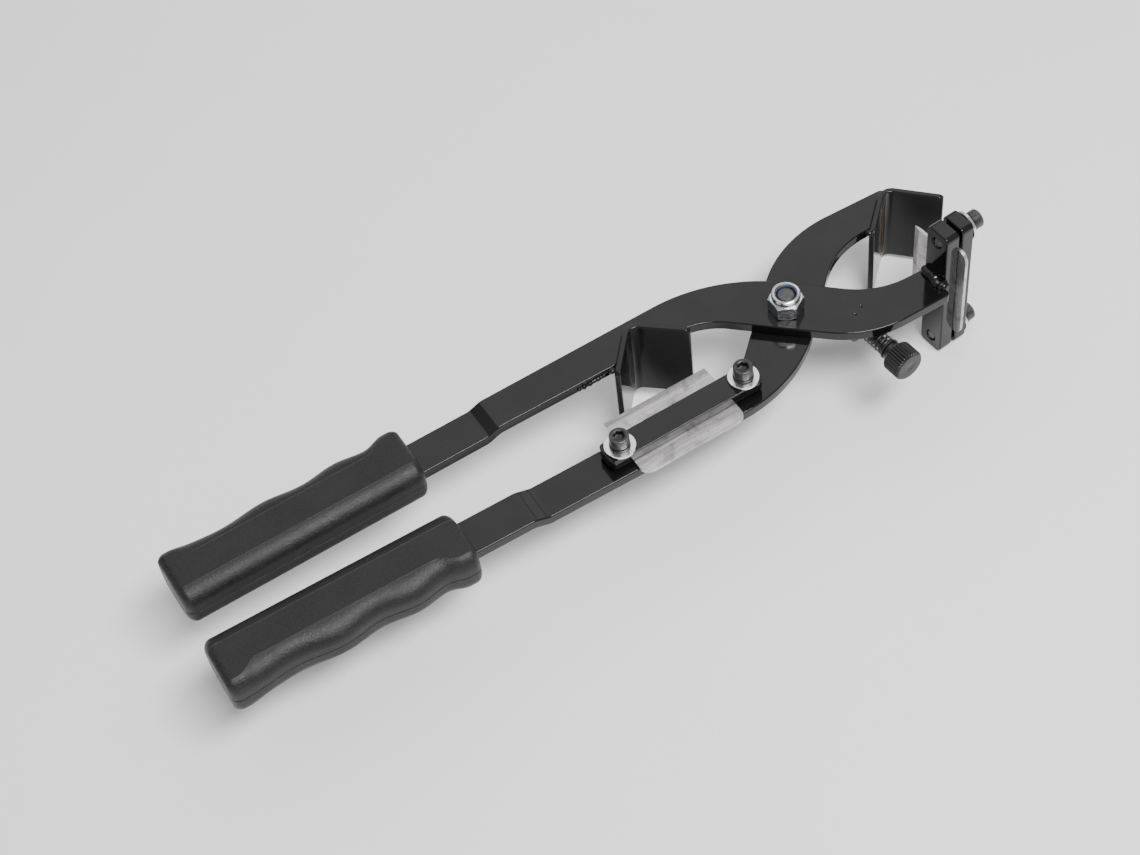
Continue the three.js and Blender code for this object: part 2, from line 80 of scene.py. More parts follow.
class Shader:
    """One procedural material on a Principled BSDF, in object coordinates (metres)."""

    def __init__(self, name, metallic, **constants):
        self.material = bpy.data.materials.new(name)
        self.material.use_nodes = True
        self.tree = self.material.node_tree
        self.surface = self.tree.nodes["Principled BSDF"]
        self.surface.inputs["Metallic"].default_value = metallic
        for socket, value in constants.items():
            self.surface.inputs[socket.replace("_", " ")].default_value = value
        self.coords = self.tree.nodes.new("ShaderNodeTexCoord").outputs["Object"]

    def link(self, value, socket):
        if isinstance(value, bpy.types.NodeSocket):
            self.tree.links.new(value, socket)
        else:
            socket.default_value = value

    def math(self, operation, a, b=0.0):
        node = self.tree.nodes.new("ShaderNodeMath")
        node.operation = operation
        self.link(a, node.inputs[0])
        self.link(b, node.inputs[1])
        return node.outputs[0]

    def stretched(self, matrix, scale):
        """Object coordinates turned into a local frame and scaled along its axes."""
        node = self.tree.nodes.new("ShaderNodeMapping")
        node.vector_type = "TEXTURE"
        node.inputs["Rotation"].default_value = matrix.to_euler()
        node.inputs["Scale"].default_value = [1 / s for s in scale]
        self.link(self.coords, node.inputs["Vector"])
        return node.outputs[0]

    def noise(self, scale, detail=3.0, roughness=0.5, coords=None):
        node = self.tree.nodes.new("ShaderNodeTexNoise")
        node.inputs["Scale"].default_value = scale
        node.inputs["Detail"].default_value = detail
        node.inputs["Roughness"].default_value = roughness
        self.link(coords or self.coords, node.inputs["Vector"])
        return node.outputs["Fac"]

    def specks(self, scale, size):
        """1 inside small scattered dots, 0 elsewhere."""
        node = self.tree.nodes.new("ShaderNodeTexVoronoi")
        node.inputs["Scale"].default_value = scale
        self.link(self.coords, node.inputs["Vector"])
        return self.math("LESS_THAN", node.outputs["Distance"], size)

    def span(self, value, low, high, start=0.35, end=0.65):
        node = self.tree.nodes.new("ShaderNodeMapRange")
        self.link(value, node.inputs["Value"])
        for socket, number in zip(("From Min", "From Max", "To Min", "To Max"), (start, end, low, high)):
            node.inputs[socket].default_value = number
        return node.outputs["Result"]

    def mix(self, factor, a, b):
        node = self.tree.nodes.new("ShaderNodeMix")
        node.data_type = "RGBA"
        self.link(factor, node.inputs["Factor"])
        for value, socket in ((a, node.inputs["A"]), (b, node.inputs["B"])):
            self.link(value if isinstance(value, bpy.types.NodeSocket) else (*value, 1), socket)
        return node.outputs["Result"]

    def worn(self):
        node = self.tree.nodes.new("ShaderNodeAttribute")
        node.attribute_name = "wear"
        return node.outputs["Fac"]

    def bump(self, height, distance, strength=1.0, normal=None):
        node = self.tree.nodes.new("ShaderNodeBump")
        node.inputs["Distance"].default_value = distance
        node.inputs["Strength"].default_value = strength
        self.link(height, node.inputs["Height"])
        if normal is not None:
            self.link(normal, node.inputs["Normal"])
        return node.outputs["Normal"]

    def finish(self, color, roughness, normal):
        self.link(color, self.surface.inputs["Base Color"])
        self.link(roughness, self.surface.inputs["Roughness"])
        self.link(normal, self.surface.inputs["Normal"])
        return self.material


def enamel(name, tint=None, painted_shade_pits=()):
    """Thick gloss black: a slightly wavy skin, dust specks and chips along the edges."""
    s = Shader(name, 0.0, IOR=1.40)
    broad = s.noise(60, 2)
    color = s.mix(s.span(broad, 0, 1), (0.0045, 0.0045, 0.0048), (0.0065, 0.0065, 0.007))
    if tint:
        x, y, reach = tint
        near = s.tree.nodes.new("ShaderNodeVectorMath")
        near.operation = "DISTANCE"
        flat = s.tree.nodes.new("ShaderNodeVectorMath")
        flat.operation = "MULTIPLY"
        s.link(s.coords, flat.inputs[0])
        flat.inputs[1].default_value = (1, 1, 0)
        s.link(flat.outputs[0], near.inputs[0])
        near.inputs[1].default_value = (x, y, 0)
        fade = s.span(near.outputs["Value"], 1.0, 0.0, reach * 0.4, reach)
        height = s.tree.nodes.new("ShaderNodeSeparateXYZ")
        s.link(s.coords, height.inputs[0])
        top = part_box("head_v_anvil")[1].z
        inside = s.span(height.outputs["Z"], 1.0, 0.0, top - 0.002, top - 0.001)
        film = s.math("MULTIPLY", s.math("MULTIPLY", fade, inside), s.span(s.noise(300, 3), 0.6, 1))
        color = s.mix(film, color, (0.088, 0.060, 0.037))
    dust = s.math("MULTIPLY", s.specks(700, 0.06), s.math("GREATER_THAN", s.noise(160, 1), 0.56))
    color = s.mix(s.math("MULTIPLY", dust, 0.5), color, (0.16, 0.16, 0.16))
    chips = s.math("MULTIPLY", s.worn(), s.math("GREATER_THAN", s.noise(420, 4, 0.6), 0.735))
    color = s.mix(s.math("MULTIPLY", chips, 0.6), color, (0.22, 0.215, 0.21))
    roughness = s.math("ADD", s.span(s.noise(240, 3), 0.07, 0.12), s.math("MULTIPLY", chips, 0.3))
    normal = s.bump(s.noise(150, 2), 0.00010, 0.10)
    normal = s.bump(s.noise(1500, 2), 0.00002, 0.15, normal)
    # Each pit is a bump dent whose colour is darkened to near black: painted shade standing in for the shade
    # inside the recess.
    for x, y, z in painted_shade_pits:
        away = s.tree.nodes.new("ShaderNodeVectorMath")
        away.operation = "DISTANCE"
        s.link(s.coords, away.inputs[0])
        away.inputs[1].default_value = (x, y, z)
        inside = s.span(away.outputs["Value"], 1.0, 0.0, 0.0004, 0.0009)
        color = s.mix(inside, color, (0.002, 0.002, 0.002))
        roughness = s.math("ADD", roughness, s.math("MULTIPLY", inside, 0.5))
        normal = s.bump(s.math("MULTIPLY", inside, -1.0), 0.0004, 0.8, normal)
    return s.finish(color, roughness, normal)


def grip_plastic():
    """Moulded plastic with a fine spark-eroded grain."""
    s = Shader("moulded_grip", 0.0, IOR=1.40)
    grain = s.noise(1150, 3, 0.65)
    color = s.mix(s.span(s.noise(45, 4), 0, 1), (0.0060, 0.0061, 0.0064), (0.0088, 0.0089, 0.0093))
    color = s.mix(s.span(grain, 0, 0.6, 0.50, 0.80), color, (0.036, 0.0365, 0.0375))
    roughness = s.math("ADD", s.span(s.noise(90, 3), 0.36, 0.44), s.span(grain, 0.0, 0.12))
    normal = s.bump(s.noise(420, 2), 0.00006, 0.25)
    normal = s.bump(grain, 0.00030, 0.75, normal)
    return s.finish(color, roughness, normal)


def blade_steel(name, frame_matrix, scale):
    """Ground steel: grain along the blade, cross scratches, grey stains and dark edge nicks."""
    s = Shader(name, 1.0, IOR=2.5)
    along = s.stretched(frame_matrix, scale)
    grain = s.noise(1.0, 5, 0.65, along)
    stain = s.noise(150, 4, 0.6)
    color = s.mix(s.span(grain, 0, 1), (0.32, 0.30, 0.305), (0.74, 0.715, 0.72))
    scratch = s.span(s.noise(1.7, 4, 0.7, along), 0, 1, 0.5, 0.7)
    streaks = s.math("MULTIPLY", scratch, s.span(s.noise(55, 3), 0, 1, 0.4, 0.6))
    color = s.mix(s.math("MULTIPLY", streaks, 0.6), color, (0.12, 0.11, 0.11))
    color = s.mix(s.span(stain, 0.0, 0.75, 0.50, 0.70), color, (0.20, 0.185, 0.18))
    nicks = s.math("MULTIPLY", s.specks(420, 0.13), s.math("GREATER_THAN", s.noise(90, 1), 0.57))
    color = s.mix(s.math("MULTIPLY", nicks, 0.8), color, (0.05, 0.045, 0.04))
    color = s.mix(s.math("MULTIPLY", s.worn(), 0.5), color, (0.30, 0.28, 0.28))
    roughness = s.math("ADD", s.span(grain, 0.30, 0.42), s.span(stain, 0.0, 0.12))
    normal = s.bump(grain, 0.00003, 0.5)
    normal = s.bump(s.noise(260, 2), 0.00003, 0.3, normal)
    return s.finish(color, roughness, normal)


def bright_zinc():
    s = Shader("zinc_plate", 1.0, IOR=2.5)
    color = s.mix(s.span(s.noise(350, 4), 0, 1), (0.70, 0.71, 0.74), (0.86, 0.86, 0.87))
    color = s.mix(s.math("MULTIPLY", s.specks(900, 0.14), 0.35), color, (0.35, 0.35, 0.36))
    normal = s.bump(s.noise(900, 2), 0.00001, 0.15)
    return s.finish(color, s.span(s.noise(500, 3), 0.17, 0.27), normal)


def black_oxide(name="oxide_steel", worn_color=(0.12, 0.12, 0.125), shade=1.0):
    """Dark converted steel, rubbed lighter where "wear" marks an edge."""
    s = Shader(name, 0.55, IOR=1.8)
    dark = [shade * value for value in (0.014, 0.014, 0.015)]
    light = [shade * value for value in (0.028, 0.028, 0.029)]
    color = s.mix(s.span(s.noise(500, 4), 0, 1), dark, light)
    rub = s.math("MULTIPLY", s.worn(), s.span(s.noise(700, 4, 0.6), 0.15, 1.0))
    color = s.mix(rub, color, worn_color)
    normal = s.bump(s.noise(1800, 3), 0.00002, 0.4)
    return s.finish(color, s.span(s.noise(420, 3), 0.28, 0.42), normal)


def nylon():
    s = Shader("nylon_insert", 0.0, IOR=1.53)
    color = s.mix(s.span(s.noise(600, 3), 0, 1), (0.028, 0.050, 0.085), (0.042, 0.070, 0.115))
    normal = s.bump(s.noise(900, 3), 0.00004, 0.4)
    return s.finish(color, s.span(s.noise(300, 2), 0.35, 0.5), normal)


def floor_paper():
    s = Shader("floor_paper", 0.0, IOR=1.2)
    color = s.mix(s.span(s.noise(4, 3), 0, 1), (0.86, 0.86, 0.86), (0.875, 0.875, 0.875))
    return s.finish(color, s.span(s.noise(60, 3), 0.8, 0.9), s.bump(s.noise(900, 2), 0.00005, 0.2))


def row_point(x, y, z):
    return PIVOT + Vector((x, y, z)) * MM


FOLD = row_point(82.6, 32.6, 0)
ENAMEL = enamel("gloss_enamel")
# Two pits on the upper arm's top, each a bump dent darkened with painted shade.
ARM_ENAMEL = enamel("arm_enamel", painted_shade_pits=[row_point(25.8, -23.5, 6), row_point(31.2, -20.7, 6)])
FOLD_ENAMEL = enamel("fold_enamel", tint=(FOLD.x, FOLD.y, 0.0065))
GRIP = grip_plastic()
MID_STEEL = blade_steel("mid_blade_steel", MID.to_3x3().normalized().to_4x4(), (60, 2600, 400))
HEAD_STEEL = blade_steel("head_blade_steel", HEAD.to_3x3().normalized().to_4x4(), (400, 2600, 60))
ZINC = bright_zinc()
OXIDE = black_oxide()
BOLT_OXIDE = black_oxide("bolt_end_oxide", (0.09, 0.09, 0.092), 1.6)
KNOB_OXIDE = black_oxide("knob_oxide", (0.30, 0.13, 0.07), 0.5)
NYLON = nylon()

# ---------------------------------------------------------------- mesh helpers, in millimetres


def outline(corners, step=2.5):
    """Points of a closed outline from corners (x, y[, radius]); a radius is drawn as an arc."""
    points = []
    for i, corner in enumerate(corners):
        x, y, radius = (*corner, 0)[:3]
        at = Vector((x, y))
        if not radius:
            points.append((x, y))
            continue
        back = (Vector(corners[i - 1][:2]) - at).normalized()
        ahead = (Vector(corners[(i + 1) % len(corners)][:2]) - at).normalized()
        half = math.acos(back.dot(ahead)) / 2
        run = radius / math.tan(half)
        centre = at + (back + ahead).normalized() * (radius / math.sin(half))
        first, last = at + back * run - centre, at + ahead * run - centre
        start = math.atan2(first.y, first.x)
        sweep = (math.atan2(last.y, last.x) - start + math.pi) % (2 * math.pi) - math.pi
        count = max(4, math.ceil(abs(math.degrees(sweep)) / step))
        for k in range(count + 1):
            a = start + sweep * k / count
            points.append((centre.x + radius * math.cos(a), centre.y + radius * math.sin(a)))
    return points


def rectangle(width, height, radius):
    x, y = width / 2, height / 2
    return outline([(-x, -y, radius), (x, -y, radius), (x, y, radius), (-x, y, radius)], 15)


def prism(points, bottom, top):
    bm = bmesh.new()
    low = [bm.verts.new((x, y, bottom)) for x, y in points]
    high = [bm.verts.new((x, y, top)) for x, y in points]
    bm.faces.new(reversed(low))
    bm.faces.new(high)
    for i in range(len(points)):
        j = (i + 1) % len(points)
        bm.faces.new((low[i], low[j], high[j], high[i]))
    bmesh.ops.recalc_face_normals(bm, faces=bm.faces)
    return bm


def round_ring(radius, angle):
    return radius


def hex_ring(apothem, angle):
    return apothem / math.cos(angle % (math.pi / 3) - math.pi / 6)


def revolve(rings, segments=48, closed=False):
    """Rings of (radius, height[, shape]) joined into a skin about Z; radius 0 makes a point."""
    bm = bmesh.new()
    loops = []
    for ring in rings:
        radius, height, shape = (*ring, round_ring)[:3]
        if radius == 0:
            loops.append([bm.verts.new((0, 0, height))] * segments)
            continue
        turns = [2 * math.pi * i / segments for i in range(segments)]
        loops.append([
            bm.verts.new((shape(radius, a) * math.cos(a), shape(radius, a) * math.sin(a), height))
            for a in turns
        ])
    if closed:
        loops.append(loops[0])
    for lower, upper in zip(loops, loops[1:]):
        for i in range(segments):
            j = (i + 1) % segments
            corners = tuple(dict.fromkeys((lower[i], lower[j], upper[j], upper[i])))
            if len(corners) > 2:
                bm.faces.new(corners)
    bmesh.ops.recalc_face_normals(bm, faces=bm.faces)
    return bm


def thread(radius, start, end, pitch, segments, chamfer):
    """A screw thread about Z as a closed skin, both ends chamfered."""
    depth = 0.55 * pitch
    rows = math.ceil((end - start) / pitch * 7)
    bm = bmesh.new()
    loops = []
    for row in range(rows + 1):
        z = start + (end - start) * row / rows
        limit = radius - max(0.0, chamfer - min(z - start, end - z))
        loop = []
        for i in range(segments):
            a = 2 * math.pi * i / segments
            phase = (z / pitch - a / (2 * math.pi)) % 1.0
            r = min(limit, radius - depth * min(1.0, max(0.0, 1.6 * (1 - abs(2 * phase - 1)) - 0.25)))
            loop.append(bm.verts.new((r * math.cos(a), r * math.sin(a), z)))
        loops.append(loop)
    for lower, upper in zip(loops, loops[1:]):
        for i in range(segments):
            j = (i + 1) % segments
            bm.faces.new((lower[i], lower[j], upper[j], upper[i]))
    bm.faces.new(reversed(loops[0]))
    bm.faces.new(loops[-1])
    bmesh.ops.recalc_face_normals(bm, faces=bm.faces)
    return bm


def loft(sections):
    """Point loops of equal length joined in order, both ends closed."""
    bm = bmesh.new()
    loops = [[bm.verts.new(point) for point in section] for section in sections]
    for first, second in zip(loops, loops[1:]):
        for i in range(len(first)):
            j = (i + 1) % len(first)
            bm.faces.new((first[i], second[i], second[j], first[j]))
    bm.faces.new(loops[0])
    bm.faces.new(reversed(loops[-1]))
    bmesh.ops.recalc_face_normals(bm, faces=bm.faces)
    return bm


def merged(*meshes):
    """Several closed skins as one mesh."""
    whole = meshes[0]
    for extra in meshes[1:]:
        data = bpy.data.meshes.new("part")
        extra.to_mesh(data)
        extra.free()
        whole.from_mesh(data)
        bpy.data.meshes.remove(data)
    return whole


def moved(bm, *matrices):
    for matrix in matrices:
        bmesh.ops.transform(bm, matrix=matrix, verts=bm.verts)
        if matrix.to_3x3().determinant() < 0:
            bmesh.ops.reverse_faces(bm, faces=bm.faces)
    return bm


def shift(x=0, y=0, z=0):
    return Matrix.Translation((x, y, z))


def subtract(bm, *tools):
    """The mesh with each tool's volume taken out of it."""
    objects = []
    for mesh in (bm, *tools):
        data = bpy.data.meshes.new("part")
        mesh.to_mesh(data)
        mesh.free()
        obj = bpy.data.objects.new("part", data)
        bpy.context.scene.collection.objects.link(obj)
        objects.append(obj)
    for tool in objects[1:]:
        modifier = objects[0].modifiers.new("cut", "BOOLEAN")
        modifier.object = tool
        modifier.solver = "MANIFOLD"
    graph = bpy.context.evaluated_depsgraph_get()
    data = bpy.data.meshes.new_from_object(objects[0].evaluated_get(graph))
    result = bmesh.new()
    result.from_mesh(data)
    for obj in objects:
        old = obj.data
        bpy.data.objects.remove(obj)
        bpy.data.meshes.remove(old)
    bpy.data.meshes.remove(data)
    bmesh.ops.remove_doubles(result, verts=result.verts, dist=0.002)
    bmesh.ops.dissolve_limit(result, angle_limit=math.radians(0.2), verts=result.verts, edges=result.edges)
    return result


def soften(bm, width, segments=3, angle=32):
    """Rounds every edge sharper than an angle, and marks the rounding in the "wear" layer."""
    edges = [e for e in bm.edges if len(e.link_faces) == 2 and e.calc_face_angle() > math.radians(angle)]
    result = bmesh.ops.bevel(
        bm, geom=edges, offset=width, offset_type="OFFSET", segments=segments, profile=0.5,
        affect="EDGES", clamp_overlap=False,
    )
    layer = bm.verts.layers.float.get("wear") or bm.verts.layers.float.new("wear")
    rounded = set(result["faces"])
    for face in rounded:
        for vert in face.verts:
            if all(other in rounded for other in vert.link_faces):
                vert[layer] = 1.0
    return bm


def mark(bm, test):
    layer = bm.verts.layers.float.get("wear") or bm.verts.layers.float.new("wear")
    for vert in bm.verts:
        vert[layer] = max(vert[layer], float(test(vert.co)))
    return bm


def piece(name, bm, matrix, material, body, nodes=(), sharp=38, weighted=True):
    """Puts a millimetre mesh into the row frame as a named piece on a body."""
    if matrix is not None:
        moved(bm, matrix)
    data = bpy.data.meshes.new(name)
    bm.to_mesh(data)
    bm.free()
    data.materials.append(material)
    data.shade_smooth()
    data.set_sharp_from_angle(angle=math.radians(sharp))
    obj = bpy.data.objects.new(name, data)
    bpy.context.scene.collection.objects.link(obj)
    if weighted:
        modifier = obj.modifiers.new("normals", "WEIGHTED_NORMAL")
        modifier.keep_sharp = True
        graph = bpy.context.evaluated_depsgraph_get()
        obj.data = bpy.data.meshes.new_from_object(obj.evaluated_get(graph))
        obj.data.name = name
        obj.modifiers.clear()
        bpy.data.meshes.remove(data)
    if body:
        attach(obj, body)
    if nodes:
        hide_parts(*nodes)
    return obj


def copied(node):
    """A CAD node's mesh in metres, its coplanar triangles merged."""
    bm = bmesh.new()
    bm.from_mesh(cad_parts[node].data)
    bmesh.ops.remove_doubles(bm, verts=bm.verts, dist=2e-6)
    bmesh.ops.dissolve_limit(bm, angle_limit=math.radians(0.5), verts=bm.verts, edges=bm.edges)
    return bm


# ---------------------------------------------------------------- arms

UPPER = {"y": 28.2, "turn": 0.9, "step": 3, "end": -4, "drop": -3, "layer": (SEAT, BAR_THICK)}
LOWER = {"y": -27.8, "turn": -0.5, "step": -2, "end": -10, "drop": 3, "layer": (-BAR_THICK, -SEAT)}
TANG_X = -160
TANG_END = -321
VEE = {"half": 23.8, "thick": 3, "height": 50, "outer": 7.5, "inner": 4.5}
MID_VEE = (-70.7, 13.75, 4.2, 9)
HEAD_VEE = (88.6, 18.65, -1.1, 3)


def local(x, y, turn):
    return shift(x, y) @ Matrix.Rotation(math.radians(turn), 4, "Z")


def vee_pocket(vee):
    x, y, turn, _ = vee
    drop, clearance = 12, SEAT
    grown = VEE["half"] + clearance * math.sqrt(2)
    foot = grown + drop - clearance * math.sqrt(2)
    shape = outline([(-foot, -drop), (foot, -drop), (0, grown, VEE["outer"] + clearance)])
    return moved(prism(shape, -30, 30), local(x, y, turn))


def ramp(x, start, blur):
    if x <= start - blur:
        return 0.0
    return x - start if x >= start + blur else (x - start + blur) ** 2 / (4 * blur)


def bend(bm, arm):
    """Steps the bar down to mid height in front of the grip."""
    turn = Matrix.Rotation(-math.radians(arm["turn"]), 4, "Z")
    blur, first, last = 1.7, arm["end"] - 3, arm["step"] + 3
    normal = turn.inverted() @ Vector((1, 0, 0))
    cuts = int((last - first) / 0.6)
    for k in range(cuts + 1):
        at = Vector((TANG_X, arm["y"], 0)) + normal * (first + (last - first) * k / cuts)
        everything = list(bm.verts) + list(bm.edges) + list(bm.faces)
        bmesh.ops.bisect_plane(bm, geom=everything, plane_co=at, plane_no=normal)
    for vert in bm.verts:
        x = (turn @ (vert.co - Vector((TANG_X, arm["y"], 0)))).x
        run = ramp(x, arm["end"], blur) - ramp(x, arm["step"], blur)
        vert.co.z += arm["drop"] * (1 - run / (arm["step"] - arm["end"]))


def tang_corners(arm):
    """The two corners of the bar's hidden end, the -Y one first."""
    turn = Matrix.Rotation(math.radians(arm["turn"]), 4, "Z")
    return [
        tuple((turn @ Vector((TANG_END - TANG_X, y, 0)) + Vector((TANG_X, arm["y"], 0))).xy)
        for y in (-BAR_WIDTH / 2, BAR_WIDTH / 2)
    ]


def arm(name, sizes, path, vee):
    low, high = tang_corners(sizes)
    shape = outline([low, *path, high])
    body = subtract(prism(shape, *sizes["layer"]), vee_pocket(vee))
    soften(body, 0.75, 4)
    bend(body, sizes)
    piece(name + "_fine", body, place(), ARM_ENAMEL, name + "_body", [name])


arm("upper_arm", UPPER, [
    (-156, 18.3), (-39.2, 18.6, 36.6), (23.8, -39.9, 55), (72.4, -39.9, 2),
    (72.1, -18.7), (43.4, -17.5, 45), (-17.5, 40.2, 92), (-156, 38.2),
], MID_VEE)
arm("lower_arm", LOWER, [
    (-156, -38), (-18.7, -39.6, 82), (47.1, 24.3, 48), (91, 22.2),
    (91, 42.7, 4), (25.1, 44.7, 71), (-41.4, -18.6, 25), (-156, -17.9),
], HEAD_VEE)

# ---------------------------------------------------------------- V anvils


def vee_anvil(name, vee, material, body):
    """Bent plate, its four outer corners rounded before its edges are."""
    x, y, turn, top = vee
    half, thick = VEE["half"], VEE["thick"]
    foot = thick / math.sqrt(2)
    shape = outline([
        (-half, 0), (-half + foot, -foot), (0, half - thick * math.sqrt(2), VEE["inner"]),
        (half - foot, -foot), (half, 0), (0, half, VEE["outer"]),
    ])
    bm = prism(shape, top - VEE["height"], top)
    corners = [
        e for e in bm.edges
        if abs(e.verts[0].co.z - e.verts[1].co.z) < 0.01
        and all(abs(v.co.x) > half - foot - 0.01 and v.co.y < 0.01 for v in e.verts)
    ]
    bmesh.ops.bevel(
        bm, geom=corners, offset=2.6, segments=7, profile=0.5, affect="EDGES", clamp_overlap=False,
    )
    soften(bm, 0.7, 4)
    piece(name + "_fine", bm, place(x, y, 0, turn), material, body, [name])


vee_anvil("mid_v_anvil", MID_VEE, ENAMEL, UPPER_BODY)
vee_anvil("head_v_anvil", HEAD_VEE, FOLD_ENAMEL, LOWER_BODY)

# ---------------------------------------------------------------- grips

GRIP_SIZE = {"length": 131.5, "half": 12.3, "inner": 15.7, "valley": 16.4, "crest": 18.9, "crease": 8.6}
GRIP_ROUND = {"inner": 8, "end": 4.5, "outer": 8.6}
FINGER_WAVE = [
    (0, 1), (6, 1), (34, 0), (57.5, 1), (78, 0), (97, 0.95), (113, 0), (125, 1), (131.5, 1),
]


def finger_side(x):
    after = next((i for i, (at, _) in enumerate(FINGER_WAVE) if at >= x and i), len(FINGER_WAVE) - 1)
    (x0, w0), (x1, w1) = FINGER_WAVE[after - 1], FINGER_WAVE[after]
    wave = w0 + (w1 - w0) * (0.5 - 0.5 * math.cos(math.pi * (x - x0) / (x1 - x0)))
    return GRIP_SIZE["valley"] + wave * (GRIP_SIZE["crest"] - GRIP_SIZE["valley"])


def panel_edge(x):
    to_end = min(x - 7, GRIP_SIZE["length"] - 8 - x)
    t = min(1.0, max(0.0, (12 - to_end) / 12))
    spread = t * t * (3 - 2 * t)
    return GRIP_SIZE["crease"] + spread * (GRIP_SIZE["crest"] - 5 - GRIP_SIZE["crease"])


def grip_section(x, inset):
    """Half a grip's section, from the parting face up and over to the finger side."""
    near, far = -GRIP_SIZE["inner"] + inset, finger_side(x) - inset
    top = GRIP_SIZE["half"] - inset * 0.8
    panel = min(panel_edge(x), far - 2)
    radius = GRIP_ROUND["inner"]
    parting = 0.28
    section = [(x, near + parting, SEAT), (x, near, SEAT + parting)]
    steps, tilt = 14, math.radians(15)
    for i in range(steps + 1):
        a = (math.pi / 2 - tilt) * i / steps
        reach = radius * (1 - math.cos(a)) / (1 - math.cos(math.pi / 2 - tilt))
        rise = radius * (1 - math.sin(a) / math.sin(math.pi / 2 - tilt))
        section.append((x, near + reach, top - rise))
    start, ridge = near + radius, 0.09
    section += [(x, start + 0.18, top + ridge), (x, start + 0.42, top)]
    for k in range(1, 6):
        section.append((x, start + (panel - start) * k / 6, top))
    section += [(x, panel - 0.42, top), (x, panel - 0.18, top + ridge)]
    for i in range(steps + 1):
        a = tilt + (math.pi / 2 - tilt) * i / steps
        reach = (math.sin(a) - math.sin(tilt)) / (1 - math.sin(tilt))
        fall = (math.cos(tilt) - math.cos(a)) / math.cos(tilt)
        section.append((x, panel + (far - panel) * reach, top - GRIP_ROUND["outer"] * fall))
    section += [(x, far, SEAT + parting), (x, far - parting, SEAT)]
    return section


def grip_shell():
    end, length = GRIP_ROUND["end"], GRIP_SIZE["length"]
    arc = [math.radians(a) for a in (0, 11, 22, 33, 45, 57, 68, 79, 90)]
    stations = [(end * (1 - math.cos(a)), end * (1 - math.sin(a))) for a in arc]
    steps = 150
    middle = [(end + (length - 2 * end) * i / steps, 0.0) for i in range(1, steps)]
    tail = [(length - back, inset) for back, inset in reversed(stations)]
    sections = [grip_section(x, inset) for x, inset in stations + middle + tail]
    shell = loft(sections)
    pocket = prism([(10.5, -10.35), (160, -10.35), (160, 10.35), (10.5, 10.35)], -3.3, 3.3)
    return subtract(shell, pocket)


def grips():
    for side, name, arm_data, butt in ((1, "upper", UPPER, -332.5), (-1, "lower", LOWER, -334.6)):
        turn = math.radians(arm_data["turn"])
        along = butt - TANG_X
        x, y = TANG_X + along * math.cos(turn), arm_data["y"] + along * math.sin(turn)
        at = place(x, y, 0, arm_data["turn"])
        for face, sign in (("top", 1), ("bottom", -1)):
            node = f"{name}_grip_{face}_shell"
            flip = Matrix.Diagonal((1, side, sign, 1))
            piece(node + "_fine", grip_shell(), at @ flip, GRIP, name + "_arm_body", [node], sharp=9)


grips()

# ---------------------------------------------------------------- blades and clamps


def blade(node, material, body):
    bm = copied(node)
    soften(bm, 0.00012, 2, 12)
    piece(node + "_fine", bm, None, material, body, [node], sharp=25)


blade("mid_blade", MID_STEEL, LOWER_BODY)
blade("head_blade", HEAD_STEEL, UPPER_BODY)


def drill(x, radius, bottom, top):
    return moved(revolve([(0, bottom), (radius, bottom), (radius, top), (0, top)], 32), shift(x))


bar = subtract(
    moved(prism(rectangle(88.4, 14, 3), 2.1, 8.1), shift(-0.6)),
    drill(-SCREW_OFFSET, 3.3, 0, 9), drill(SCREW_OFFSET, 3.3, 0, 9),
)
piece("mid_clamp_bar_fine", soften(bar, 0.6, 4), MID, ENAMEL, LOWER_BODY, ["mid_clamp_bar"])


def head_block(node, start, thick, hole):
    slab = subtract(
        prism(rectangle(87, 15, 3), 0, thick),
        drill(-SCREW_OFFSET, hole, -1, 9), drill(SCREW_OFFSET, hole, -1, 9),
    )
    soften(slab, 0.8, 4)
    piece(node + "_fine", slab, HEAD @ shift(start) @ ALONG_X, ENAMEL, UPPER_BODY, [node])


head_block("head_seat_block", -4, 8, 3.15)
head_block("head_clamp_block", 6.1, 7.5, 3.3)

lug = soften(copied("stop_lug"), 0.0006, 3)
piece("stop_lug_fine", lug, None, ENAMEL, UPPER_BODY, ["stop_lug"])

# ---------------------------------------------------------------- fasteners


def cap_screw(grip):
    """M6 socket head cap screw with its seat at height 0."""
    head = revolve([
        (0, 0.2), (4.6, 0.2), (4.75, 0), (5, 0.25), (5, 5.25), (4.93, 5.5), (4.75, 5.72), (4.5, 5.88),
        (4.2, 5.95), (3.35, 5.95), (3.12, 5.88, round_ring), (2.55, 5.55, hex_ring), (2.5, 5.3, hex_ring),
        (2.5, 2.9, hex_ring), (0, 1.8),
    ], 48)
    mark(head, lambda p: 0.55 if p.z > 5.2 and p.xy.length > 4.4 else 0)
    shank = thread(3, -grip, 0.6, 1.0, 36, 0.7)
    mark(shank, lambda p: 0.5 if p.z < 0.4 - grip else 0)
    return merged(head, shank)


def flat_washer():
    return revolve([
        (3.3, 0.15), (3.45, 0), (7.7, 0), (8, 0.3), (8, 1.15), (7.85, 1.42), (7.6, 1.5), (3.5, 1.5),
        (3.3, 1.3),
    ], 64, closed=True)


def lock_washer():
    """Split ring of square wire, rising by a hair over its one turn."""
    sections = []
    for k in range(61):
        a = math.radians(6 + 348 * k / 60)
        rise = 0.22 * (k / 60 - 0.5)
        corners = [(3.25, 0.12), (5.1, 0.12), (5.3, 0.3), (5.3, 1.2), (5.1, 1.38), (3.25, 1.38)]
        sections.append([(r * math.cos(a), r * math.sin(a), z + rise) for r, z in corners])
    return loft(sections)


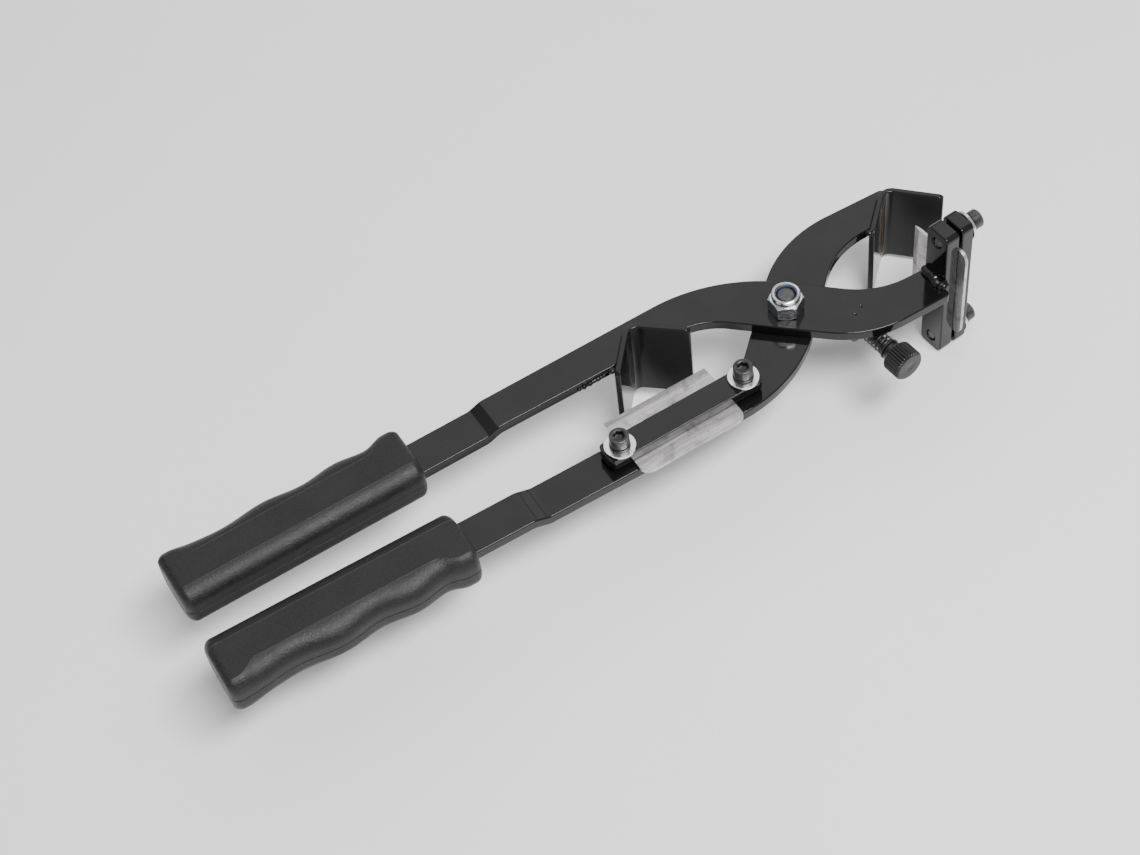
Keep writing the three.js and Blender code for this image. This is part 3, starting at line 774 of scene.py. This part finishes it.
def screw_stack(where, frame_matrix, grip, body, split):
    """Screw, lock washer and flat washer on a seat."""
    spin = Matrix.Rotation(math.radians(split), 4, "Z")
    head_seat = 3.45
    piece(where + "_screw_fine", cap_screw(grip + head_seat), frame_matrix @ shift(z=head_seat) @ spin,
          OXIDE, body, [where + "_screw"])
    piece(where + "_lock_washer_fine", lock_washer(), frame_matrix @ shift(z=1.8) @ spin,
          OXIDE, body, [where + "_lock_washer"])
    piece(where + "_flat_washer_fine", flat_washer(), frame_matrix @ shift(z=SEAT),
          ZINC, body, [where + "_flat_washer"])


screw_stack("mid_butt_end", MID @ shift(-SCREW_OFFSET, 0, 8.1), 16.1, LOWER_BODY, 200)
screw_stack("mid_pivot_end", MID @ shift(SCREW_OFFSET, 0, 8.1), 16.1, LOWER_BODY, 310)
screw_stack("head_upper", HEAD @ shift(13.6, 0, SCREW_OFFSET) @ ALONG_X, 17.1, UPPER_BODY, 60)
screw_stack("head_lower", HEAD @ shift(13.6, 0, -SCREW_OFFSET) @ ALONG_X, 17.1, UPPER_BODY, 140)

# ---------------------------------------------------------------- pivot


def chamfered_hex(apothem, bottom, top, chamfer, cap):
    """Rings of a hexagonal body whose corners are turned off at both ends."""
    def limited(limit):
        return lambda radius, angle: min(hex_ring(radius, angle), limit)
    corner = apothem / math.cos(math.pi / 6)
    rings = [(cap, bottom), (apothem, bottom, limited(apothem))]
    steps = 6
    for k in range(1, steps + 1):
        limit = apothem + (corner - apothem) * k / steps
        rings.append((apothem, bottom + chamfer * k / steps, limited(limit)))
    for k in range(steps, -1, -1):
        limit = apothem + (corner - apothem) * k / steps
        rings.append((apothem, top - chamfer * k / steps, limited(limit)))
    return rings


def pivot():
    spin = Matrix.Rotation(math.radians(30), 4, "Z")
    seat, nut_top, collar_top, across = 6.15, 14.55, 18.15, 16
    nut_rings = chamfered_hex(across / 2, seat, nut_top, 0.9, 5.15)
    nut_rings += [
        (7.5, nut_top), (7.5, nut_top + 0.3), (7.48, nut_top + 1.7), (7.4, nut_top + 2.5),
        (7.15, collar_top - 0.42), (6.8, collar_top - 0.12), (6.4, collar_top), (6.0, collar_top - 0.1),
        (5.72, collar_top - 0.4), (5.65, collar_top - 0.9), (6.35, collar_top - 1.5), (6.35, nut_top + 0.1),
        (5.15, nut_top),
    ]
    nut = revolve(nut_rings, 96, closed=True)
    piece("pivot_nut_fine", nut, place() @ spin, ZINC, UPPER_BODY, ["pivot_nut"], sharp=28)
    insert = revolve([
        (5.1, nut_top + 0.2), (6.2, nut_top + 0.2), (6.2, collar_top - 1.5), (5.6, collar_top - 0.95),
        (5.3, collar_top - 0.9), (5.1, collar_top - 1.1),
    ], 64, closed=True)
    piece("pivot_nut_insert_fine", insert, place(), NYLON, UPPER_BODY, ["pivot_nut_insert"])
    under = -seat - 6.4
    head = revolve([(0, under), *chamfered_hex(across / 2, under, -seat, 0.9, 7.2), (0, -seat)], 96)
    shank = thread(5, -seat - 0.5, 16.7, 1.5, 60, 1.1)
    mark(shank, lambda p: 0.6 if p.z > 15.5 else 0)
    bolt = merged(head, shank)
    piece("pivot_bolt_fine", bolt, place() @ spin, BOLT_OXIDE, UPPER_BODY, ["pivot_bolt"], sharp=28)


pivot()

# ---------------------------------------------------------------- closing stop


def knob():
    """Straight-fluted knob about Z, its hub at height 0."""
    flutes = 32
    def fluted(radius, angle):
        wave = (angle * flutes / (2 * math.pi)) % 1.0
        return radius - 0.55 * max(0.0, 1 - 3.2 * abs(wave - 0.5))
    hub, end, r = 4.2, 14.6, 8.5
    bm = revolve([
        (3.15, 0), (4.75, 0), (5, 0.25), (5, 3.3), (5.6, 3.3), (7.2, 3.3), (7.75, 3.75), (8.0, hub),
        (r - 0.1, hub + 0.2, fluted), (r, hub + 0.6, fluted), (r, end - 1.3, fluted),
        (r - 0.25, end - 0.9, fluted),
        (7.7, end - 0.25), (7.4, end - 0.05), (7.1, end), (3.2, end), (2.9, end - 0.12), (0, end - 0.12),
        (0, 11), (3.15, 11),
    ], flutes * 8, closed=True)
    mark(bm, lambda p: 0.85 if 3.2 < p.z < 4.0 and p.xy.length > 6.5 else 0)
    return bm


def spring():
    """Round wire in a helix along -Y; its last turn at each end closes up."""
    outer, wire, turns = 10.2, 1.1, 6.5
    start, end = -0.85, -15.95
    radius, count = (outer - wire) / 2, 320
    sections = []
    for k in range(count + 1):
        t = k / count
        closed = 0.12
        eased = min(1.0, max(0.0, (t - closed) / (1 - 2 * closed)))
        coil = 0.065 * min(t, closed) / closed + 0.87 * eased + 0.065 * max(0.0, t - 1 + closed) / closed
        a = 2 * math.pi * turns * t
        centre = Vector((radius * math.cos(a), start + (end - start) * coil, radius * math.sin(a)))
        out = Vector((math.cos(a), 0, math.sin(a)))
        side = Vector((0, 1, 0))
        ring = [2 * math.pi * i / 12 for i in range(12)]
        sections.append([centre + (out * math.cos(b) + side * math.sin(b)) * (wire / 2) for b in ring])
    return loft(sections)


def closing_stop():
    turned = STOP @ ALONG_MINUS_Y
    piece("stop_knob_fine", knob(), turned @ shift(z=18), KNOB_OXIDE, SCREW_BODY, ["stop_knob"], sharp=30)
    rod = thread(3, -28.1, 28.8, 1.0, 36, 1.2)
    piece("stop_screw_fine", rod, turned, OXIDE, SCREW_BODY, ["stop_screw"])
    washer = revolve([
        (3.25, 0.1), (3.35, 0), (5.55, 0), (5.75, 0.2), (5.75, 0.7), (5.6, 0.88), (3.35, 0.9), (3.25, 0.8),
    ], 48, closed=True)
    piece("stop_spring_washer_fine", washer, turned @ shift(z=16.8), OXIDE, CARRIAGE, ["stop_spring_washer"])
    coil = piece("stop_spring_fine", spring(), STOP, OXIDE, None, ["stop_spring"])
    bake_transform(coil)


closing_stop()

# ---------------------------------------------------------------- welds


def bead(name, path, radius, body, seed, flat=0.7):
    """A lumpy painted weld bead along a path of (x, y, z) in the pivot's frame."""
    rng = random.Random(seed)
    points = [Vector(p) for p in path]
    lengths = [(b - a).length for a, b in zip(points, points[1:])]
    total = sum(lengths)
    steps = max(10, int(total / 0.35))
    lumps = [(rng.uniform(0, 2 * math.pi), rng.uniform(1.1, 2.4), rng.uniform(0.05, 0.12)) for _ in range(5)]
    sections = []
    for k in range(steps + 1):
        d = total * k / steps
        i = 0
        while i < len(lengths) - 1 and d > lengths[i]:
            d -= lengths[i]
            i += 1
        centre = points[i].lerp(points[i + 1], min(1.0, d / lengths[i]))
        along = (points[i + 1] - points[i]).normalized()
        side = along.cross(Vector((0, 0, 1)))
        side = side.normalized() if side.length > 0.1 else Vector((1, 0, 0))
        up = side.cross(along)
        s = total * k / steps
        ripple = 1 + 0.13 * abs(math.sin(s * 1.15)) + sum(w * math.sin(f * s + p) for p, f, w in lumps)
        end = math.sqrt(max(0.02, 1 - (2 * k / steps - 1) ** 8))
        ring = [2 * math.pi * j / 16 for j in range(16)]
        sections.append([
            centre + (side * math.cos(b) + up * flat * math.sin(b)) * radius * ripple * end for b in ring
        ])
    piece(name, loft(sections), place(), ENAMEL, body, sharp=60, weighted=False)


def nub(name, x, y, z, radius, body):
    """A single round weld spot."""
    rings = [(0, -radius)] + [
        (radius * math.cos(a), radius * math.sin(a))
        for a in (math.radians(d) for d in range(-75, 90, 15))
    ] + [(0, radius)]
    bm = moved(revolve(rings, 24), Matrix.Diagonal((1, 1, 0.8, 1)))
    piece(name, bm, place(x, y, z), ENAMEL, body, sharp=60, weighted=False)


bead("head_block_weld", [(72.8, -18.9, 6.4), (71.2, -22.5, 6.5), (72.2, -26, 6.9), (71.0, -30, 6.4),
                         (72.0, -33.5, 6.6), (72.8, -36.2, 6.2)], 3.2, UPPER_BODY, 3, 0.8)
nub("head_block_weld_start", 71.4, -20.6, 6.9, 2.7, UPPER_BODY)
nub("head_block_weld_middle", 70.6, -27.9, 6.7, 2.4, UPPER_BODY)
nub("head_block_weld_end", 71.9, -34.4, 7.3, 2.5, UPPER_BODY)
bead("head_block_under_weld", [(72.3, -19.5, -0.6), (72.2, -30, -0.8), (72.6, -37.5, -0.6)],
     2.4, UPPER_BODY, 4, 0.8)
bead("mid_vee_weld", [(-113, 18.5, 2.2), (-104, 18.5, 2.6), (-96.5, 18.4, 3.2), (-92.4, 18.6, 4.2)],
     1.25, UPPER_BODY, 5, 0.9)
bead("mid_vee_far_weld", [(-53, 19.4, 2.0), (-47.8, 19.6, 3.2)], 1.2, UPPER_BODY, 6, 0.9)
bead("head_vee_weld", [(66.5, 23.6, -3.4), (70.5, 23.2, -2.6)], 1.2, LOWER_BODY, 7, 0.9)
nub("mid_vee_spot", -93.9, 15.0, 8.0, 1.9, UPPER_BODY)
nub("head_vee_spot", 65.5, 19.4, 2.1, 1.9, LOWER_BODY)

# ---------------------------------------------------------------- stage, light and camera

# The photograph's viewpoint, in metres: where the camera stands, and its right and up directions.
CAMERA_LENS = 68.3
CAMERA_AT = (-0.280476, -0.575635, 0.897984)
CAMERA_RIGHT = Vector((0.853083, -0.514297, -0.088017))
CAMERA_UP = Vector((0.458552, 0.658486, 0.596762))


def stage():
    bpy.ops.mesh.primitive_plane_add(size=12)
    floor = bpy.context.object
    floor.name = "floor"
    floor.data.materials.append(floor_paper())


def softbox(name, at, target, width, height, watts):
    data = bpy.data.lights.new(name, "AREA")
    data.shape = "RECTANGLE"
    data.size, data.size_y = width, height
    data.energy = watts
    light = bpy.data.objects.new(name, data)
    light.location = at
    light.rotation_euler = (Vector(target) - Vector(at)).to_track_quat("-Z", "Y").to_euler()
    bpy.context.scene.collection.objects.link(light)


stage()
world = bpy.data.worlds.new("studio")
world.use_nodes = True
world.node_tree.nodes["Background"].inputs["Color"].default_value = (1, 1, 1, 1)
world.node_tree.nodes["Background"].inputs["Strength"].default_value = 0.5
bpy.context.scene.world = world
softbox("back_box", (0.62, 1.08, 1.6), (0.62, 1.08, 0), 2.3, 1.5, 12)
softbox("key_box", (0.2, -0.75, 1.6), (0, 0, 0), 1.0, 0.45, 46)
softbox("side_box", (2.3, 1.2, 1.0), (0, 0, 0.3), 1.0, 1.2, 4)

camera_data = bpy.data.cameras.new("camera")
camera_data.sensor_width = 36
camera_data.lens = CAMERA_LENS
camera_data.clip_end = 50
camera = bpy.data.objects.new("camera", camera_data)
turned = Matrix((CAMERA_RIGHT, CAMERA_UP, CAMERA_RIGHT.cross(CAMERA_UP))).transposed().to_4x4()
camera.matrix_world = Matrix.Translation(CAMERA_AT) @ turned
bpy.context.scene.collection.objects.link(camera)
bpy.context.scene.camera = camera
